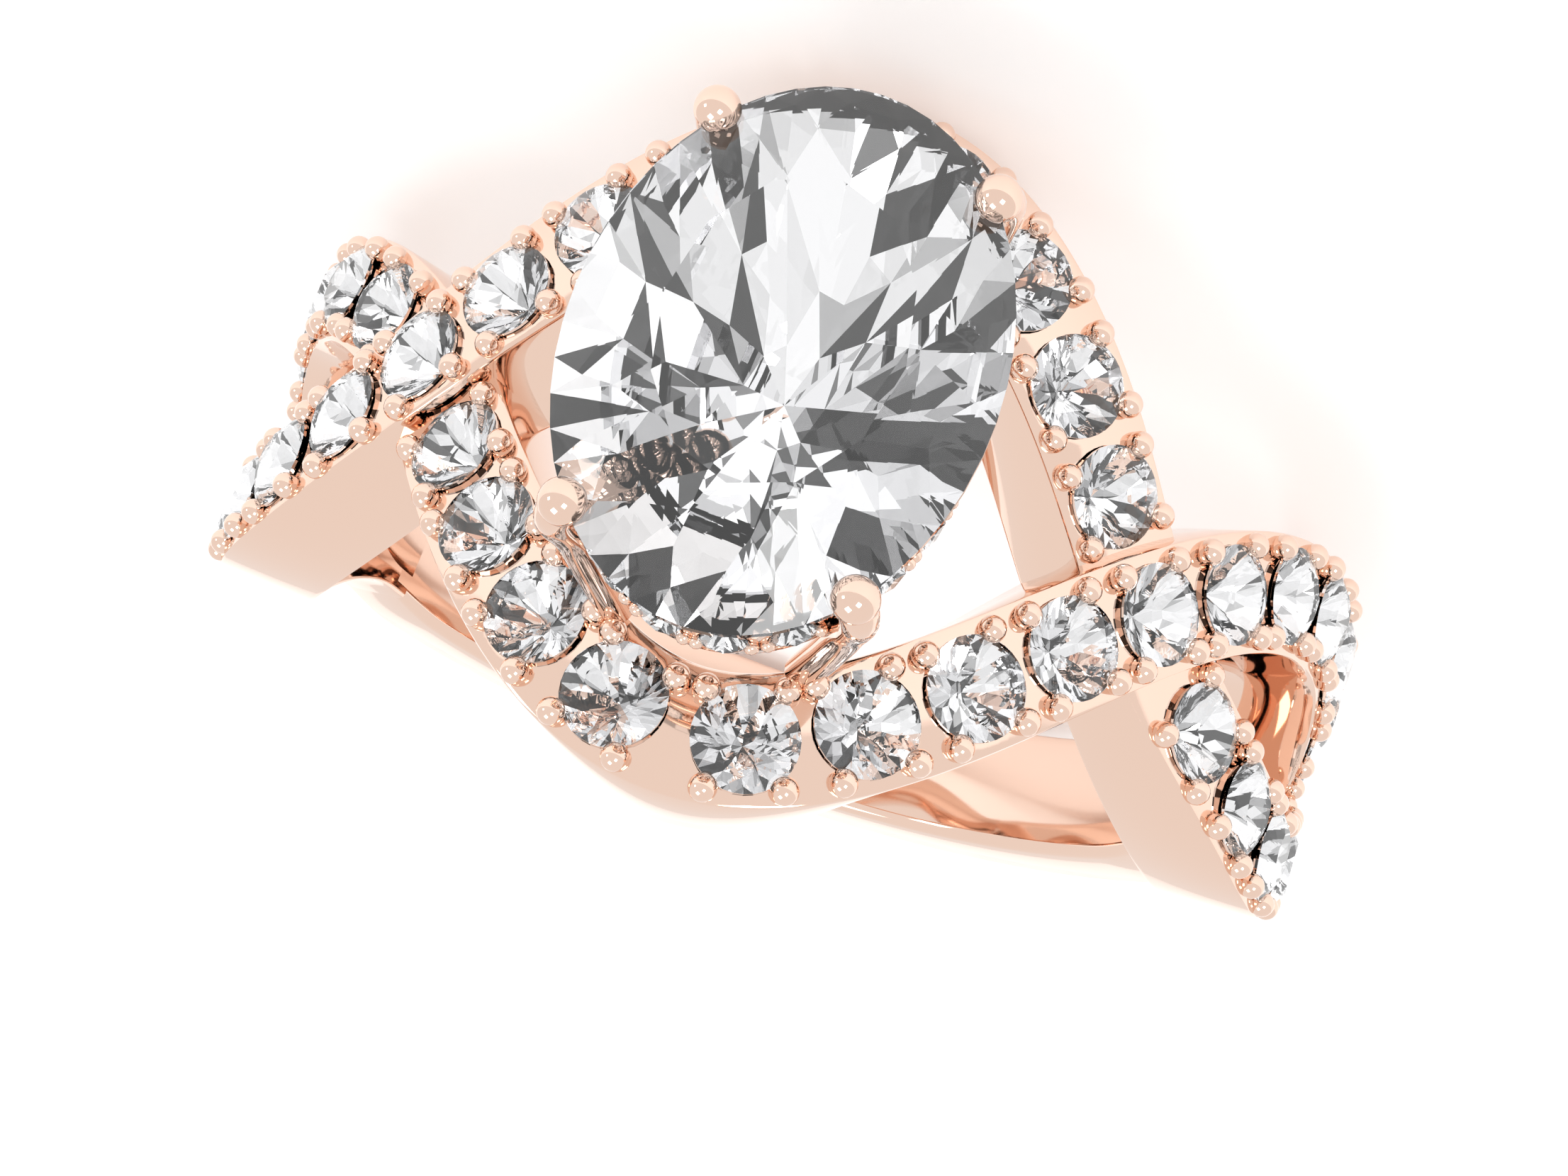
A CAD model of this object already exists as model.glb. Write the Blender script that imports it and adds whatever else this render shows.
"""Twisted shank ring: the looks of the polished metal and the cut stones.

Shapes are worked out in millimetres and degrees in the ring's own upright frame, with the finger
hole along Y and the head up. settled() lays a finished piece in its place on the floor, in metres."""

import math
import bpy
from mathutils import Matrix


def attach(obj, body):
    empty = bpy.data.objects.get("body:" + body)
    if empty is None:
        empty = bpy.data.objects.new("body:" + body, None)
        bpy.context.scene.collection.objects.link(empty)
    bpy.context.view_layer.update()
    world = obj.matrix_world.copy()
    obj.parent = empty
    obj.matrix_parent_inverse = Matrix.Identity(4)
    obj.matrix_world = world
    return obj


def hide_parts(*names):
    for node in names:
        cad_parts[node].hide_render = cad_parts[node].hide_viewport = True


bl_info = {
    "name": "Twisted shank ring",
    "version": (1, 0, 0),
    "blender": (4, 5, 0),
    "location": "View3D > Sidebar > Ring",
    "description": "Models a ring with two crossing stone-set strands and an oval stone",
    "category": "Object",
}

import bpy
from mathutils import Matrix, Vector

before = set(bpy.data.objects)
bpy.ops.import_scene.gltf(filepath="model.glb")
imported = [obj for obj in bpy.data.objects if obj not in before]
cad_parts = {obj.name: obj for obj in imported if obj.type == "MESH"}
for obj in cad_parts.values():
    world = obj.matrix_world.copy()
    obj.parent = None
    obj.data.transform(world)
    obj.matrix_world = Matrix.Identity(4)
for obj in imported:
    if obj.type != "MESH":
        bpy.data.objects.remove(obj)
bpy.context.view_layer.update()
MM = 0.001


class ShankSizes(bpy.types.PropertyGroup):
    """Sizes of the strands and the plain band"""

    finger_r: bpy.props.FloatProperty(
        name="Finger hole", description="Radius of the hole", default=8.6 * MM, subtype="DISTANCE")
    strand_w: bpy.props.FloatProperty(
        name="Strand width", description="Across its set face", default=2.1 * MM, subtype="DISTANCE")
    strand_r: bpy.props.FloatProperty(
        name="Arc", description="Radius of the set faces", default=10.3 * MM, subtype="DISTANCE")
    strand_rise: bpy.props.FloatProperty(
        name="Arc rise", description="Lift of the arc's centre", default=0.6 * MM, subtype="DISTANCE")
    peak_y: bpy.props.FloatProperty(
        name="Peak", description="Offset beside the head", default=4.95 * MM, subtype="DISTANCE")
    valley_y: bpy.props.FloatProperty(
        name="Valley", description="Offset below the crossing", default=2.15 * MM, subtype="DISTANCE")
    valley_angle: bpy.props.FloatProperty(
        name="Valley at", description="Angle from the top", default=math.radians(68), subtype="ANGLE")
    under_drop: bpy.props.FloatProperty(
        name="Dip", description="Dip of the lower strand", default=0.42 * MM, subtype="DISTANCE")
    cross_angle: bpy.props.FloatProperty(
        name="Crossing", description="Angle from the top", default=math.radians(38), subtype="ANGLE")
    join_angle: bpy.props.FloatProperty(
        name="Join", description="Where the band begins", default=math.radians(108), subtype="ANGLE")
    band_w: bpy.props.FloatProperty(
        name="Band width", description="Width of the plain band", default=2.7 * MM, subtype="DISTANCE")
    band_wall: bpy.props.FloatProperty(
        name="Band wall", description="Wall of the plain band", default=1.6 * MM, subtype="DISTANCE")
    edge: bpy.props.FloatProperty(
        name="Edge", description="Rounding of the strands' edges", default=0.07 * MM, subtype="DISTANCE")
    lip: bpy.props.FloatProperty(
        name="Lip", description="Rounding inside the band", default=0.25 * MM, subtype="DISTANCE")


class StoneSizes(bpy.types.PropertyGroup):
    """Sizes of the stones and of what holds them"""

    stone_d: bpy.props.FloatProperty(
        name="Strand stone", description="Diameter", default=1.7 * MM, subtype="DISTANCE")
    pitch: bpy.props.FloatProperty(
        name="Pitch", description="From stone to stone", default=1.9 * MM, subtype="DISTANCE")
    middle_pitch: bpy.props.FloatProperty(
        name="Middle pitch", description="At a strand's middle", default=2.14 * MM, subtype="DISTANCE")
    hidden_run: bpy.props.FloatProperty(
        name="Hidden run", description="Length under a crossing", default=4.4 * MM, subtype="DISTANCE")
    girdle_rise: bpy.props.FloatProperty(
        name="Rise", description="Girdle above the set face", default=0.08 * MM, subtype="DISTANCE")
    bead_r: bpy.props.FloatProperty(
        name="Bead", description="Radius of a bead", default=0.23 * MM, subtype="DISTANCE")
    bead_along: bpy.props.FloatProperty(
        name="Bead along", description="From a stone's middle", default=0.62 * MM, subtype="DISTANCE")
    bead_across: bpy.props.FloatProperty(
        name="Bead across", description="From a stone's middle", default=0.77 * MM, subtype="DISTANCE")
    oval_w: bpy.props.FloatProperty(
        name="Oval width", description="Across the head", default=6.4 * MM, subtype="DISTANCE")
    oval_l: bpy.props.FloatProperty(
        name="Oval length", description="Along the head", default=8.66 * MM, subtype="DISTANCE")
    oval_z: bpy.props.FloatProperty(
        name="Girdle height", description="Above the axis", default=14.34 * MM, subtype="DISTANCE")
    crown_h: bpy.props.FloatProperty(
        name="Crown", description="Height above the girdle", default=0.95 * MM, subtype="DISTANCE")
    pavilion_h: bpy.props.FloatProperty(
        name="Pavilion", description="Depth below the girdle", default=2.65 * MM, subtype="DISTANCE")
    ball_r: bpy.props.FloatProperty(
        name="Ball", description="Radius of a prong's ball", default=0.36 * MM, subtype="DISTANCE")
    prong_r: bpy.props.FloatProperty(
        name="Prong", description="Radius of a prong", default=0.3 * MM, subtype="DISTANCE")
    prong_x: bpy.props.FloatProperty(
        name="Prong across", description="Place of a prong's tip", default=2.17 * MM, subtype="DISTANCE")
    prong_y: bpy.props.FloatProperty(
        name="Prong along", description="Place of a prong's tip", default=3.22 * MM, subtype="DISTANCE")
    gallery_d: bpy.props.FloatProperty(
        name="Gallery stone", description="Diameter", default=0.78 * MM, subtype="DISTANCE")


class RingColours(bpy.types.PropertyGroup):
    """Colours of the metal and the stage"""

    gold: bpy.props.FloatVectorProperty(
        name="Rose gold", description="Polished metal", subtype="COLOR", default=(0.865, 0.63, 0.51))
    floor: bpy.props.FloatVectorProperty(
        name="Floor", description="White table", subtype="COLOR", default=(0.9, 0.9, 0.9))


class Measures:
    """Gives a group's lengths in millimetres and its angles in degrees.

    They are rounded and in single precision, because the order of a stone's facets, and with it
    their tones, hangs on the last digit."""

    def __init__(self, group):
        self.group = group

    def __getattr__(self, name):
        value = getattr(self.group, name)
        is_angle = self.group.bl_rna.properties[name].subtype == "ANGLE"
        plain = math.degrees(value) if is_angle else value / MM
        return Vector((round(plain, 4), 0)).x


def shank():
    return Measures(bpy.context.scene.shank_sizes)


def stones():
    return Measures(bpy.context.scene.stone_sizes)


# Path of a strand, the same as the solid part's: the dip's reach in degrees, the narrowing between
# peak and valley, the step in from the band's edge, and the degrees over which a slope is taken
DIP_SPREAD = 13
WAIST = 0.83
END_STEP = 0.1
NUDGE = 0.2
STONES_BEFORE, STONES_MIDDLE, STONES_AFTER = 11, 4, 5
PATH_END = 112


def dip(a):
    """How far strand A sinks where the other one passes over it, a degrees from the top"""
    s = shank()
    return s.under_drop * math.exp(-(((a - s.cross_angle) / DIP_SPREAD) ** 2))


def face_r(a):
    """From the ring's axis to the set face"""
    s = shank()
    q = math.radians(a)
    lift = s.strand_rise
    return lift * math.cos(q) + math.sqrt(s.strand_r ** 2 - (lift * math.sin(q)) ** 2) - dip(a)


def strand_y(a):
    """Offset of the strand's middle along the finger hole"""
    s = shank()
    end = (s.band_w - s.strand_w) / 2 - END_STEP
    if abs(a) <= s.valley_angle:
        t = math.pi * abs(a) / s.valley_angle
        mean, amp = (s.peak_y - s.valley_y) / 2, (s.peak_y + s.valley_y) / 2
        return mean + amp * math.cos(t) - WAIST * math.sin(t) ** 2
    way = min(1, (abs(a) - s.valley_angle) / (s.join_angle - s.valley_angle))
    return -end - (s.valley_y - end) * (1 + math.cos(math.pi * way)) / 2


def face_point(a):
    q = math.radians(a)
    return Vector((face_r(a) * math.sin(q), strand_y(a), face_r(a) * math.cos(q)))


def strand_axes(a):
    """Along the strand, out of its face, and across it"""
    q = math.radians(a)
    along = (face_point(a + NUDGE) - face_point(a - NUDGE)).normalized()
    radial = Vector((math.sin(q), 0, math.cos(q)))
    out = (radial - along * radial.dot(along)).normalized()
    return along, out, out.cross(along)


def axes_at(p, x, y, z):
    """The matrix that moves the origin to p and turns the axes to x, y and z"""
    m = Matrix((x, y, z)).transposed().to_4x4()
    m.translation = p
    return m


def stone_frames():
    """Place of each stone of strand A: +X along, +Y across, +Z out of the face"""
    j = stones()
    first = j.middle_pitch / 2
    places = [-first - i * j.pitch for i in reversed(range(STONES_BEFORE))]
    places += [first + i * j.pitch for i in range(STONES_MIDDLE)]
    past = first + (STONES_MIDDLE - 1) * j.pitch + j.hidden_run
    places += [past + i * j.pitch for i in range(STONES_AFTER)]
    points = [face_point(a) for a in range(-PATH_END, PATH_END + 1)]
    run = [0.0]
    for p, after in zip(points, points[1:]):
        run.append(run[-1] + (after - p).length)
    half = run[PATH_END]
    frames = []
    for place in places:
        k = max(i for i, r in enumerate(run) if r - half <= place)
        a = k - PATH_END + (place - run[k] + half) / (run[k + 1] - run[k])
        along, out, across = strand_axes(a)
        frames.append(axes_at(face_point(a), along, across, out))
    return frames


# Strand B is strand A after half a turn about the head
STAYS = Matrix.Identity(4)
TURNED = Matrix.Rotation(math.pi, 4, "Z")
# Width of a stone's table as a share of the stone's
TABLE_SHARE = 0.56


def lay_matrix():
    """Lays the ring on a strand's flank and the band's edge, and goes from millimetres to metres"""
    s, j = shank(), stones()
    flank = (s.peak_y + s.strand_w / 2, s.finger_r)
    edge = (s.band_w / 2, -(s.finger_r + s.band_wall))
    tilt = math.atan2(flank[0] - edge[0], flank[1] - edge[1]) - math.pi / 2
    cosine, sine = math.cos(tilt), math.sin(tilt)
    far = TABLE_SHARE * j.oval_l / 2 * cosine - (j.oval_z + j.crown_h) * sine
    near = -edge[0] * cosine - edge[1] * sine
    floor = edge[0] * sine + edge[1] * cosine
    move = Matrix.Translation((0, -(far + near) / 2 * MM, -floor * MM))
    return move @ Matrix.Rotation(tilt, 4, "X") @ Matrix.Scale(MM, 4)


# Modelling helpers
WELD = 0.0001


def alone(*objs):
    bpy.ops.object.select_all(action="DESELECT")
    for o in objs:
        o.select_set(True)
    bpy.context.view_layer.objects.active = objs[0]


def named(name):
    o = bpy.context.object
    o.name = name
    o.data.name = name
    return o


def joined(name, objs):
    alone(*objs)
    bpy.ops.object.join()
    return named(name)


def copied(o, matrix):
    twin = o.copy()
    twin.data = o.data.copy()
    twin.data.transform(matrix)
    bpy.context.collection.objects.link(twin)
    return twin


def dropped(o):
    bpy.data.objects.remove(o)


def skin(name, columns, rows, place, looped=False):
    """A grid drawn round into a tube: place(i, j) gives the point of column i, row j.

    A looped tube meets its own start, and any other gets a face at each end."""
    bpy.ops.object.select_all(action="DESELECT")
    bpy.ops.mesh.primitive_grid_add(x_subdivisions=columns, y_subdivisions=rows, size=2)
    o = named(name)
    for v in o.data.vertices:
        i = round((v.co.x + 1) / 2 * columns)
        j = round((v.co.y + 1) / 2 * rows)
        v.co = place(i % columns if looped else i, j % rows)
    bpy.ops.object.mode_set(mode="EDIT")
    bpy.ops.mesh.select_all(action="SELECT")
    bpy.ops.mesh.remove_doubles(threshold=WELD)
    if not looped:
        bpy.ops.mesh.select_all(action="DESELECT")
        bpy.ops.mesh.select_mode(type="EDGE")
        bpy.ops.mesh.select_non_manifold()
        bpy.ops.mesh.fill_holes(sides=0)
    bpy.ops.mesh.select_all(action="SELECT")
    bpy.ops.mesh.normals_make_consistent(inside=False)
    bpy.ops.object.mode_set(mode="OBJECT")
    return o


def sphere(name, radius, segments, rings):
    bpy.ops.object.select_all(action="DESELECT")
    bpy.ops.mesh.primitive_uv_sphere_add(segments=segments, ring_count=rings, radius=radius)
    return named(name)


def softened(o, degrees=32):
    """Smooth faces, but for edges that turn by more than some degrees"""
    alone(o)
    bpy.ops.object.shade_smooth_by_angle(angle=math.radians(degrees))
    return o


def carved(o, cutter):
    """Cuts one mesh out of another with an applied boolean"""
    alone(o)
    cut = o.modifiers.new("Seats", "BOOLEAN")
    cut.operation = "DIFFERENCE"
    cut.solver = "EXACT"
    cut.object = cutter
    bpy.ops.object.modifier_apply(modifier=cut.name)
    dropped(cutter)
    return o


def settled(o, node):
    """Lays a finished piece in its place and the solid it stands for"""
    o.data.transform(lay_matrix())
    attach(o, "root")
    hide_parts(node)


def gilded(o, node="ring_metal"):
    """Settles a piece of the metal"""
    o.data.materials.clear()
    o.data.materials.append(polished_gold())
    settled(o, node)


# Materials. The gold's fine noise dulls it, and its wide noise lightens and dents it
FINE_SCALE, FINE_DETAIL = 900, 3
WIDE_SCALE, WIDE_DETAIL = 160, 1
LEAST_ROUGHNESS, ROUGHNESS_SPREAD = 0.025, 0.05
LIGHTER = (1.02, 1.03, 1.04)
DENT_STRENGTH, DENT_DEPTH = 0.03, 0.02 * MM
# Refraction of a stone's crown and of its coat, and a facet's blue against its red and green
CROWN_IOR, COAT_IOR = 1.16, 1.9
FACET_BLUE = 1.01


class Wire:
    """A shader socket that takes Python's arithmetic"""

    def __init__(self, tree, socket=None):
        self.tree, self.socket = tree, socket

    def node(self, kind, settings=None, **inputs):
        """A new node. An input goes by its name, or by n and its number."""
        n = self.tree.nodes.new(kind)
        for key, value in (settings or {}).items():
            setattr(n, key, value)
        for key, value in inputs.items():
            numbered = key[0] == "n" and key[1:].isdigit()
            port = n.inputs[int(key[1:]) if numbered else key.replace("_", " ")]
            if isinstance(value, Wire):
                value.into(port)
            else:
                port.default_value = value
        return n

    def into(self, port):
        self.tree.links.new(self.socket, port)

    def noise(self, scale, detail):
        n = self.node("ShaderNodeTexNoise", Vector=self, Scale=scale, Detail=detail)
        return Wire(self.tree, n.outputs[0])

    def maths(self, operation, other):
        n = self.node("ShaderNodeMath", {"operation": operation}, n0=self, n1=other)
        return Wire(self.tree, n.outputs[0])

    def __add__(self, other):
        return self.maths("ADD", other)

    __radd__ = __add__

    def __mul__(self, other):
        return self.maths("MULTIPLY", other)

    __rmul__ = __mul__


def blank(name):
    m = bpy.data.materials.new(name)
    m.use_nodes = True
    return m, m.node_tree.nodes["Principled BSDF"].inputs


def polished_gold():
    """Polished rose gold, with the faint waviness that a buffing wheel leaves"""
    if "polished_gold" in bpy.data.materials:
        return bpy.data.materials["polished_gold"]
    m, ports = blank("polished_gold")
    ports["Metallic"].default_value = 1
    wire = Wire(m.node_tree)
    coords = Wire(m.node_tree, wire.node("ShaderNodeTexCoord").outputs["Object"])
    fine = coords.noise(FINE_SCALE, FINE_DETAIL)
    wide = coords.noise(WIDE_SCALE, WIDE_DETAIL)
    roughness = LEAST_ROUGHNESS + ROUGHNESS_SPREAD * fine
    roughness.into(ports["Roughness"])
    gold = bpy.context.scene.ring_colours.gold
    light = [part * more for part, more in zip(gold, LIGHTER)]
    tint = wire.node("ShaderNodeMix", {"data_type": "RGBA"}, n0=wide, n6=(*gold, 1), n7=(*light, 1))
    Wire(m.node_tree, tint.outputs[2]).into(ports["Base Color"])
    bump = wire.node("ShaderNodeBump", Strength=DENT_STRENGTH, Distance=DENT_DEPTH, Height=wide)
    Wire(m.node_tree, bump.outputs[0]).into(ports["Normal"])
    return m


def crown_glass():
    """The clear upper part of a stone. It bends light little, so that the facets below it show,
    and its coat gives the gloss of a real one."""
    if "crown_glass" in bpy.data.materials:
        return bpy.data.materials["crown_glass"]
    m, ports = blank("crown_glass")
    ports["Base Color"].default_value = (1, 1, 1, 1)
    ports["Roughness"].default_value = 0
    ports["IOR"].default_value = CROWN_IOR
    ports["Transmission Weight"].default_value = 1
    ports["Coat Weight"].default_value = 0.8
    ports["Coat Roughness"].default_value = 0
    ports["Coat IOR"].default_value = COAT_IOR
    return m


def facet_mirror(name, tone):
    """A facet of the pavilion, which throws light back as a mirror does"""
    if name in bpy.data.materials:
        return bpy.data.materials[name]
    m, ports = blank(name)
    ports["Base Color"].default_value = (tone, tone, tone * FACET_BLUE, 1)
    ports["Metallic"].default_value = 1
    ports["Roughness"].default_value = 0
    return m


# Cut stones
FACET_TONES = (("bright_facet", 0.98), ("light_facet", 0.84), ("grey_facet", 0.5), ("dark_facet", 0.06))
TONE_ORDER = (1, 4, 2, 1, 3, 2, 1, 4, 2, 1, 3, 1, 2, 3, 1, 2, 4)
LOWER_SIDE = 0.15
# Crown rows: corners as a multiple of the table's, share of the width, turn, share of the height
CROWN_CUT = ((1, 0.79, 0.5, 0.53), (2, 0.91, 0.5, 0.25))
GIRDLE_CORNERS = 4
# Pavilion rows: share of the width, corners
LARGE_CUT = ((0.86, 24), (0.71, 20), (0.55, 16), (0.38, 12), (0.2, 8))
SMALL_CUT = ((0.8, 16), (0.6, 13), (0.4, 10), (0.2, 6))
TINY_CUT = ((0.6, 8), (0.3, 5))
PAVILION_TURN, PAVILION_LOOSE, PAVILION_BULGE = 0.25, 0.5, 1.14
# Shares of a round stone's diameter
CROWN_SHARE, PAVILION_SHARE, GIRDLE_SHARE = 0.15, 0.42, 0.015
# Corners of a stone's table
OVAL_CORNERS, BRILLIANT_CORNERS, TINY_CORNERS = 12, 8, 4
OVAL_GIRDLE = 0.07
JUMP, JUMP_START, JUMP_SPREAD = 12.9898, 1.3, 43758.5453
# Seats: gap all round, then the foot's radius and the wall's heights as shares of the diameter
SEAT_GAP = 0.02
SEAT_FOOT = 0.08
SEAT_WALL = (-0.02, 0.05, 0.4)
SEAT_SIDES = 32


def uneven(i):
    """A number from 0 to 1 that jumps about from one i to the next, the same on every run"""
    return math.sin(JUMP * i + JUMP_START) * JUMP_SPREAD % 1.0


def cut_stone(name, a, b, crown, pavilion, girdle, rows, n):
    """A brilliant of half widths a and b: its corners are placed, and a hull wraps them in facets"""
    def row(k, share, turn, z, loose=0.0):
        found = []
        for i in range(k):
            q = 2 * math.pi / k * (i + turn + loose * (uneven(i + k) - 0.5))
            found.append(Vector((a * share * math.cos(q), b * share * math.sin(q), z)))
        return found
    points = row(n, TABLE_SHARE, 0, crown)
    for times, share, turn, rise in CROWN_CUT:
        points += row(times * n, share, turn, girdle + (crown - girdle) * rise)
    for z in (girdle, -girdle):
        points += row(GIRDLE_CORNERS * n, 1, 0, z)
    for share, k in rows:
        z = -girdle - (pavilion - girdle) * (1 - share ** PAVILION_BULGE)
        points += row(k, share, PAVILION_TURN, z, PAVILION_LOOSE)
    points += [Vector((0, 0, -pavilion))]
    bpy.ops.object.select_all(action="DESELECT")
    bpy.ops.mesh.primitive_circle_add(vertices=len(points), radius=a)
    o = named(name)
    for v, p in zip(o.data.vertices, points):
        v.co = p
    bpy.ops.object.mode_set(mode="EDIT")
    bpy.ops.mesh.select_all(action="SELECT")
    bpy.ops.mesh.convex_hull()
    bpy.ops.mesh.select_all(action="SELECT")
    bpy.ops.mesh.normals_make_consistent(inside=False)
    bpy.ops.object.mode_set(mode="OBJECT")
    o.data.materials.append(crown_glass())
    for tone in FACET_TONES:
        o.data.materials.append(facet_mirror(*tone))
    for i, f in enumerate(o.data.polygons):
        if f.normal.z < LOWER_SIDE:
            f.material_index = TONE_ORDER[int(uneven(i) * len(TONE_ORDER))]
    return o


def round_stone(name, d, rows, n):
    return cut_stone(
        name, d / 2, d / 2, CROWN_SHARE * d, PAVILION_SHARE * d, GIRDLE_SHARE * d, rows, n)


def oval_stone(name, grow=0.0):
    """The centre stone, or the tool that cuts its seat if it grows"""
    j = stones()
    o = cut_stone(name, j.oval_w / 2 + grow, j.oval_l / 2 + grow, j.crown_h + grow,
                  j.pavilion_h + grow, OVAL_GIRDLE + grow, LARGE_CUT, OVAL_CORNERS)
    o.data.transform(Matrix.Translation((0, 0, j.oval_z)))
    return o


def round_seats(d, spots):
    """What cuts the seats of round stones: a cone with a straight wall above it, at each spot"""
    r = d / 2 + SEAT_GAP
    profile = [(SEAT_FOOT * d, -PAVILION_SHARE * d - SEAT_GAP)] + [(r, share * d) for share in SEAT_WALL]

    def place(i, j):
        r, z = profile[i]
        q = 2 * math.pi * j / SEAT_SIDES
        return Vector((r * math.cos(q), r * math.sin(q), z))
    cutter = skin("seat", len(profile) - 1, SEAT_SIDES, place)
    cuts = joined("seats", [copied(cutter, spot) for spot in spots])
    dropped(cutter)
    return cuts


# Strands and band. A rounded edge has its knee at this share of its size.
STRAND_ROWS, STRAND_END = 320, 111.0
KNEE = 0.3
INNER_LIP, LIP_KNEE = 0.12, 0.03
# A hair smaller, so that skins that coincide don't flicker
STRAND_B_SCALE, BAND_SCALE = 0.9997, 0.9999
BAND_ROWS, LIP_ROWS, BAND_EDGE = 144, 6, 0.06
# The band's ends ease down into the strands over these rows
EASE_ROWS, EASE_DROP, EASE_NARROW = 14, 0.16, 0.09


class RING_OT_strands(bpy.types.Operator):
    """The two crossing strands, with a seat for each stone"""

    bl_idname = "ring.strands"
    bl_label = "Strands"

    def execute(self, context):
        s, j = shank(), stones()
        w, e = s.strand_w / 2, s.edge

        def on_hole(p):
            """The point of the finger hole's wall straight below p"""
            k = s.finger_r / math.hypot(p.x, p.z)
            return Vector((p.x * k, p.y, p.z * k))

        def section(a):
            across = strand_axes(a)[2]
            middle = face_point(a)
            walls = []
            for side in (1, -1):
                inward = -across * side
                top = middle - inward * w
                foot = on_hole(top)
                down = (foot - top).normalized()
                walls.append([
                    top + inward * e, top + inward * (e * KNEE) + down * (e * KNEE), top + down * e,
                    foot - down * INNER_LIP, foot - down * LIP_KNEE + inward * LIP_KNEE,
                    on_hole(foot + inward * INNER_LIP)])
            return [middle] + walls[0] + [on_hole(middle)] + walls[1][::-1]

        table = [section(-STRAND_END + 2 * STRAND_END * i / STRAND_ROWS) for i in range(STRAND_ROWS + 1)]
        base = skin("strand_a", STRAND_ROWS, len(table[0]), lambda i, k: table[i][k])
        lift = Matrix.Translation((0, 0, j.girdle_rise))
        for turn in (STAYS, TURNED):
            carved(base, round_seats(j.stone_d, [turn @ f @ lift for f in stone_frames()]))
        softened(base)
        other = copied(base, TURNED @ Matrix.Scale(STRAND_B_SCALE, 4))
        other.name = "strand_b"
        gilded(base)
        gilded(other)
        return {"FINISHED"}


class RING_OT_plain_band(bpy.types.Operator):
    """The plain band that joins the strands' ends, with rounded inner lips"""

    bl_idname = "ring.plain_band"
    bl_label = "Plain band"

    def execute(self, context):
        s = shank()
        half, lip, e = s.band_w / 2, s.lip, BAND_EDGE
        inner, outer = s.finger_r, s.finger_r + s.band_wall
        side = [(outer, -half + e), (outer - e * KNEE, -half + e * KNEE), (outer - e, -half)]
        side += [(inner + lip * (1 - math.sin(t)), -half + lip * (1 - math.cos(t)))
                 for t in [math.pi / 2 * k / LIP_ROWS for k in range(LIP_ROWS + 1)]]
        profile = side + [(r, -y) for r, y in side[::-1]]
        span = 180 - s.join_angle

        def place(i, k):
            a = 180 - span + 2 * span * i / BAND_ROWS
            near = min(1, min(i, BAND_ROWS - i) / EASE_ROWS)
            ease = (1 - near) ** 2 * (3 - 2 * (1 - near))
            r, y = profile[k]
            r = r - ease * EASE_DROP * (r - inner) / (outer - inner)
            y = y * (1 - ease * EASE_NARROW)
            q = math.radians(a)
            return Vector((r * math.sin(q), y, r * math.cos(q)))
        o = softened(skin("plain_band", BAND_ROWS, len(profile), place))
        o.data.transform(Matrix.Scale(BAND_SCALE, 4))
        gilded(o)
        return {"FINISHED"}


class RING_OT_beads(bpy.types.Operator):
    """The beads that hold the strands' stones, but for any that a stone of the other strand swallows"""

    bl_idname = "ring.beads"
    bl_label = "Beads"

    def execute(self, context):
        j = stones()
        bead = sphere("bead", j.bead_r, segments=20, rings=12)
        frames = stone_frames()
        corners = [Matrix.Translation((x * j.bead_along, y * j.bead_across, j.girdle_rise))
                   for x in (-1, 1) for y in (-1, 1)]
        for name, turn, node in (("beads_of_a", STAYS, "beads_a"), ("beads_of_b", TURNED, "beads_b")):
            crossing = [(turn @ TURNED @ f).translation for f in frames]
            beads = []
            for spot in [turn @ f @ corner for f in frames for corner in corners]:
                if min((spot.translation - p).length for p in crossing) > j.stone_d / 2:
                    beads.append(copied(bead, spot))
            gilded(softened(joined(name, beads), degrees=60), node)
        dropped(bead)
        return {"FINISHED"}


# Head
# Bends of a prong below its ball: share of its tip's place across and along, height from the girdle
PRONG_BENDS = ((1, 1, 0.24), (1.05, 1.04, -0.2), (0.98, 1.0, -1.3), (0.85, 1.03, -2.5))
PRONG_FOOT, PRONG_SINK = (0.7, 1.08), 0.1
PRONG_SIDES, PRONG_CUTS = 16, 8
# Rail and gallery band: height, wall, drop below the girdle or the rail, inset from the oval, edge
RAIL_H, RAIL_WALL, RAIL_DROP, RAIL_INSET, RAIL_EDGE = 0.32, 0.5, 0.2, 0.12, 0.12
GALLERY_H, GALLERY_GAP, GALLERY_INSET, GALLERY_EDGE = 1.15, 0.2, RAIL_INSET + 0.12, 0.1
# Height of the gallery's stones as a share of the band's
GALLERY_MIDDLE = 0.62
OVAL_ROWS, CORNER_CUTS = 144, 4
# Bearings of the gallery's stones: those at the ends of the oval stand further apart
END_PITCH, FLANK_PITCH = 19, 14
GALLERY = [end + i * END_PITCH for end in (90, 270) for i in (-1.5, -0.5, 0.5, 1.5)]
GALLERY += [flank + i * FLANK_PITCH for flank in (0, 180) for i in (-2.5, -1.5, -0.5, 0.5, 1.5, 2.5)]
GRAIN_R, GRAIN_UP, GRAIN_ASIDE, GRAIN_SINK = 0.12, 0.16, 0.4, 0.01


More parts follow.
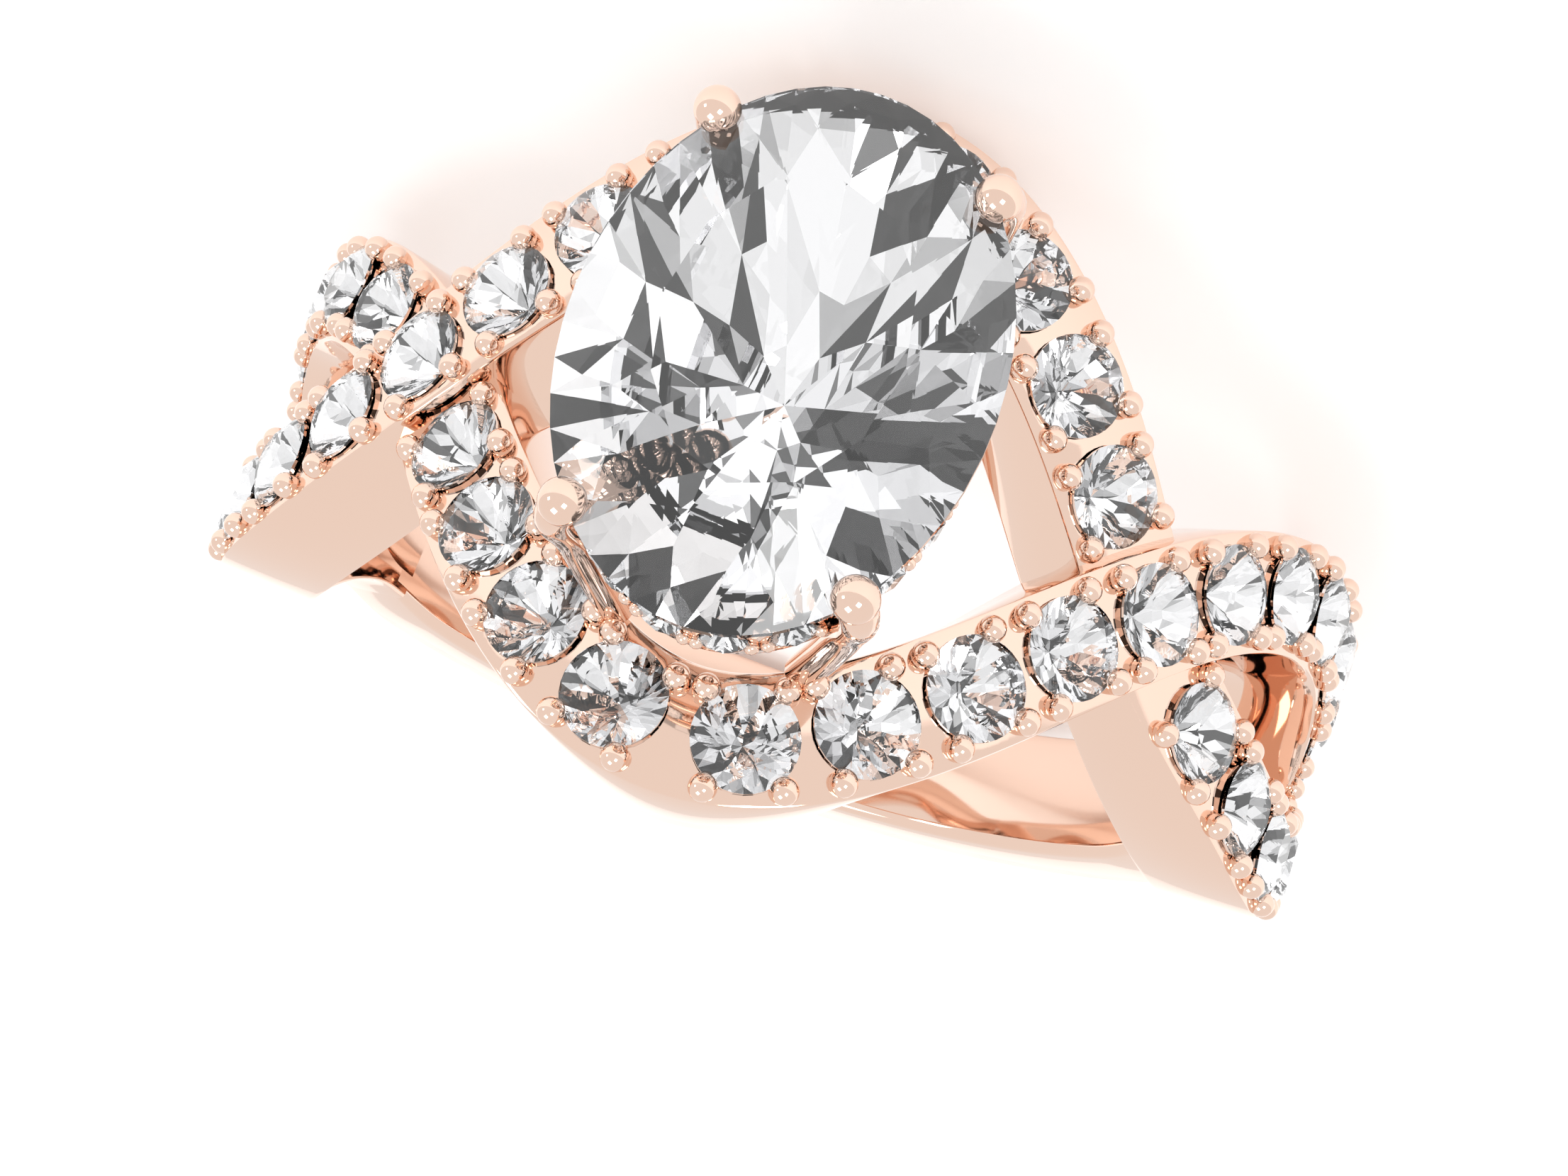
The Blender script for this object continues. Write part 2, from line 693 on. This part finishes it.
def prong(path):
    """A round wire along a smoothed path"""
    fine = []
    for k in range(len(path) - 1):
        p0 = path[max(0, k - 1)]
        p1, p2 = path[k], path[k + 1]
        p3 = path[min(len(path) - 1, k + 2)]
        for i in range(PRONG_CUTS):
            t = i / PRONG_CUTS
            fine.append(0.5 * (2 * p1 + (p2 - p0) * t + (2 * p0 - 5 * p1 + 4 * p2 - p3) * t * t
                               + (3 * p1 - p0 - 3 * p2 + p3) * t ** 3))
    fine.append(path[-1])
    radius = stones().prong_r
    rounds = []
    for k, p in enumerate(fine):
        way = (fine[min(k + 1, len(fine) - 1)] - fine[max(k - 1, 0)]).normalized()
        u = Vector((0, 1, 0)).cross(way).normalized()
        rounds.append((p, u, way.cross(u)))

    def place(i, k):
        p, u, v = rounds[i]
        q = 2 * math.pi * k / PRONG_SIDES
        return p + radius * (math.cos(q) * u + math.sin(q) * v)
    return skin("prong", len(fine) - 1, PRONG_SIDES, place)


def oval_point(t, inset):
    j = stones()
    q = math.radians(t)
    return Vector(((j.oval_w / 2 - inset) * math.cos(q), (j.oval_l / 2 - inset) * math.sin(q), 0))


def gallery_bottom():
    return stones().oval_z - RAIL_DROP - RAIL_H - GALLERY_GAP - GALLERY_H


def gallery_frame(t):
    """Place of a gallery stone: +X down, +Y round the band, +Z out of it"""
    j = stones()
    q = math.radians(t)
    p = oval_point(t, GALLERY_INSET)
    turn = math.atan2(math.sin(q) * j.oval_w / 2, math.cos(q) * j.oval_l / 2)
    at = Matrix.Translation((p.x, p.y, gallery_bottom() + GALLERY_H * GALLERY_MIDDLE))
    return at @ Matrix.Rotation(turn, 4, "Z") @ Matrix.Rotation(math.pi / 2, 4, "Y")


def oval_rail(name, z, h, inset, e):
    """An oval rail with rounded edges, as a closed loop"""
    t = RAIL_WALL
    profile = []
    corners = ((e, h - e, 90), (e, e, 180), (t - e, e, 270), (t - e, h - e, 0))
    for x, y, start in corners:
        for k in range(CORNER_CUTS + 1):
            q = math.radians(start + 90 / CORNER_CUTS * k)
            profile.append((inset + x + e * math.cos(q), y + e * math.sin(q)))

    def place(i, k):
        p = oval_point(360 * i / OVAL_ROWS, profile[k][0])
        return Vector((p.x, p.y, z + profile[k][1]))
    return skin(name, OVAL_ROWS, len(profile), place, looped=True)


class RING_OT_basket(bpy.types.Operator):
    """The basket of the oval stone: four prongs with balls, a rail and a gallery band"""

    bl_idname = "ring.basket"
    bl_label = "Basket"

    def execute(self, context):
        j = stones()
        rows = [(x, y, j.oval_z + rise) for x, y, rise in PRONG_BENDS]
        rows.append((*PRONG_FOOT, face_r(0) - PRONG_SINK))
        parts = []
        for side in (-1, 1):
            for end in (-1, 1):
                path = [Vector((x * j.prong_x * side, y * j.prong_y * end, z)) for x, y, z in rows]
                parts.append(prong(path))
                ball = sphere("ball", j.ball_r, segments=40, rings=24)
                ball.data.transform(Matrix.Translation(path[0]))
                parts.append(ball)
        seat = oval_stone("oval_seat", SEAT_GAP)
        gilded(softened(joined("prongs", parts), degrees=60))
        rail = oval_rail("upper_rail", j.oval_z - RAIL_DROP - RAIL_H, RAIL_H, RAIL_INSET, RAIL_EDGE)
        gilded(softened(carved(rail, seat), degrees=40))
        band = oval_rail("gallery_band", gallery_bottom(), GALLERY_H, GALLERY_INSET, GALLERY_EDGE)
        frames = [gallery_frame(t) for t in GALLERY]
        gilded(softened(carved(band, round_seats(j.gallery_d, frames)), degrees=35))
        grain = sphere("grain", GRAIN_R, segments=12, rings=8)
        spots = [Matrix.Translation((GRAIN_UP, side * GRAIN_ASIDE, -GRAIN_SINK)) for side in (-1, 1)]
        grains = [copied(grain, frame @ spot) for frame in frames for spot in spots]
        dropped(grain)
        gilded(softened(joined("gallery_grains", grains), degrees=60))
        return {"FINISHED"}


class RING_OT_stones(bpy.types.Operator):
    """The oval stone, the strands' stones and the gallery's"""

    bl_idname = "ring.stones"
    bl_label = "Stones"

    def execute(self, context):
        j = stones()
        settled(oval_stone("oval"), "oval_stone")
        brilliant = round_stone("brilliant", j.stone_d, SMALL_CUT, BRILLIANT_CORNERS)
        lift = Matrix.Translation((0, 0, j.girdle_rise))
        for letter, turn in (("a", STAYS), ("b", TURNED)):
            for i, f in enumerate(stone_frames()):
                o = copied(brilliant, turn @ f @ lift)
                node = "stone_%s%02d" % (letter, i + 1)
                o.name = "set_" + node
                settled(o, node)
        dropped(brilliant)
        small = round_stone("small", j.gallery_d, TINY_CUT, TINY_CORNERS)
        o = joined("gallery_set", [copied(small, gallery_frame(t)) for t in GALLERY])
        dropped(small)
        settled(o, "gallery_stones")
        return {"FINISHED"}


# Stage
FLOOR_SIZE, FLOOR_GAP = 6, 0.02 * MM
# Name, place, size, power
LAMPS = (
    ("key_light", (0.20, 0.30, 0.34), 0.16, 0.4),
    ("top_light", (-0.12, 0.06, 0.5), 0.2, 0.35),
    ("side_light", (-0.34, 0.2, 0.16), 0.08, 0.08),
)
SKY = 0.96
# The camera in the upright frame: bearing, height and roll in radians, the point that it is set out
# from, how far it stands off along its own axes, and its focal length in picture widths
CAMERA_BEARING, CAMERA_HEIGHT, CAMERA_ROLL = 0.3317, 1.2789, 0.0056
CAMERA_FROM = (0, 0, 10.7)
CAMERA_BACK, CAMERA_RIGHT, CAMERA_UP = 40.1782, -0.002, -2.3144
FOCAL_SHARE, SENSOR = 1.6307624, 36


class RING_OT_stage(bpy.types.Operator):
    """The white table, the lights and the camera"""

    bl_idname = "ring.stage"
    bl_label = "Stage"

    def execute(self, context):
        bpy.ops.object.select_all(action="DESELECT")
        bpy.ops.mesh.primitive_plane_add(size=FLOOR_SIZE, location=(0, 0, -FLOOR_GAP))
        floor = named("floor")
        m, ports = blank("white_table")
        ports["Base Color"].default_value = (*context.scene.ring_colours.floor, 1)
        ports["Roughness"].default_value = 0.6
        ports["Emission Color"].default_value = (1, 1, 1, 1)
        ports["Emission Strength"].default_value = 0.2
        floor.data.materials.append(m)

        for name, place, size, power in LAMPS:
            bpy.ops.object.light_add(type="AREA", location=place)
            lamp = bpy.context.object
            lamp.name = name
            lamp.data.size = size
            lamp.data.energy = power
            lamp.rotation_euler = Vector(place).to_track_quat("Z", "Y").to_euler()

        world = context.scene.world or bpy.data.worlds.new("World")
        context.scene.world = world
        world.use_nodes = True
        sky = world.node_tree.nodes["Background"].inputs
        sky["Color"].default_value = (1, 1, 1, 1)
        sky["Strength"].default_value = SKY

        level = math.cos(CAMERA_HEIGHT)
        out = Vector((level * math.sin(CAMERA_BEARING), -level * math.cos(CAMERA_BEARING),
                      math.sin(CAMERA_HEIGHT)))
        right = (-out).cross(Vector((0, 0, 1))).normalized()
        up = right.cross(-out)
        cosine, sine = math.cos(CAMERA_ROLL), math.sin(CAMERA_ROLL)
        right, up = cosine * right + sine * up, -sine * right + cosine * up
        eye = Vector(CAMERA_FROM) + CAMERA_BACK * out + CAMERA_RIGHT * right + CAMERA_UP * up
        turn = lay_matrix().to_3x3() @ axes_at(eye, right, up, out).to_3x3()
        bpy.ops.object.camera_add()
        camera = bpy.context.object
        camera.matrix_world = Matrix.Translation(lay_matrix() @ eye) @ turn.normalized().to_4x4()
        camera.data.sensor_width = SENSOR
        camera.data.lens = SENSOR * FOCAL_SHARE
        camera.data.clip_start = 0.001
        camera.data.clip_end = 20
        context.scene.camera = camera
        context.scene.view_settings.view_transform = "Standard"
        return {"FINISHED"}


class RING_PT_panel(bpy.types.Panel):
    """Lists the pieces of the ring"""

    bl_idname = "RING_PT_panel"
    bl_label = "Twisted shank ring"
    bl_space_type = "VIEW_3D"
    bl_region_type = "UI"
    bl_category = "Ring"

    def draw(self, context):
        for piece in PIECES:
            self.layout.operator(piece.bl_idname)


PIECES = (
    RING_OT_strands, RING_OT_plain_band, RING_OT_beads, RING_OT_basket, RING_OT_stones, RING_OT_stage)
GROUPS = (ShankSizes, StoneSizes, RingColours)


def register():
    for c in GROUPS + PIECES + (RING_PT_panel,):
        bpy.utils.register_class(c)
    bpy.types.Scene.shank_sizes = bpy.props.PointerProperty(type=ShankSizes)
    bpy.types.Scene.stone_sizes = bpy.props.PointerProperty(type=StoneSizes)
    bpy.types.Scene.ring_colours = bpy.props.PointerProperty(type=RingColours)


def unregister():
    del bpy.types.Scene.ring_colours, bpy.types.Scene.stone_sizes, bpy.types.Scene.shank_sizes
    for c in reversed(GROUPS + PIECES + (RING_PT_panel,)):
        bpy.utils.unregister_class(c)


def main():
    register()
    bpy.ops.ring.strands()
    bpy.ops.ring.plain_band()
    bpy.ops.ring.beads()
    bpy.ops.ring.basket()
    bpy.ops.ring.stones()
    bpy.ops.ring.stage()
    bpy.context.view_layer.update()


if __name__ == "__main__":
    main()
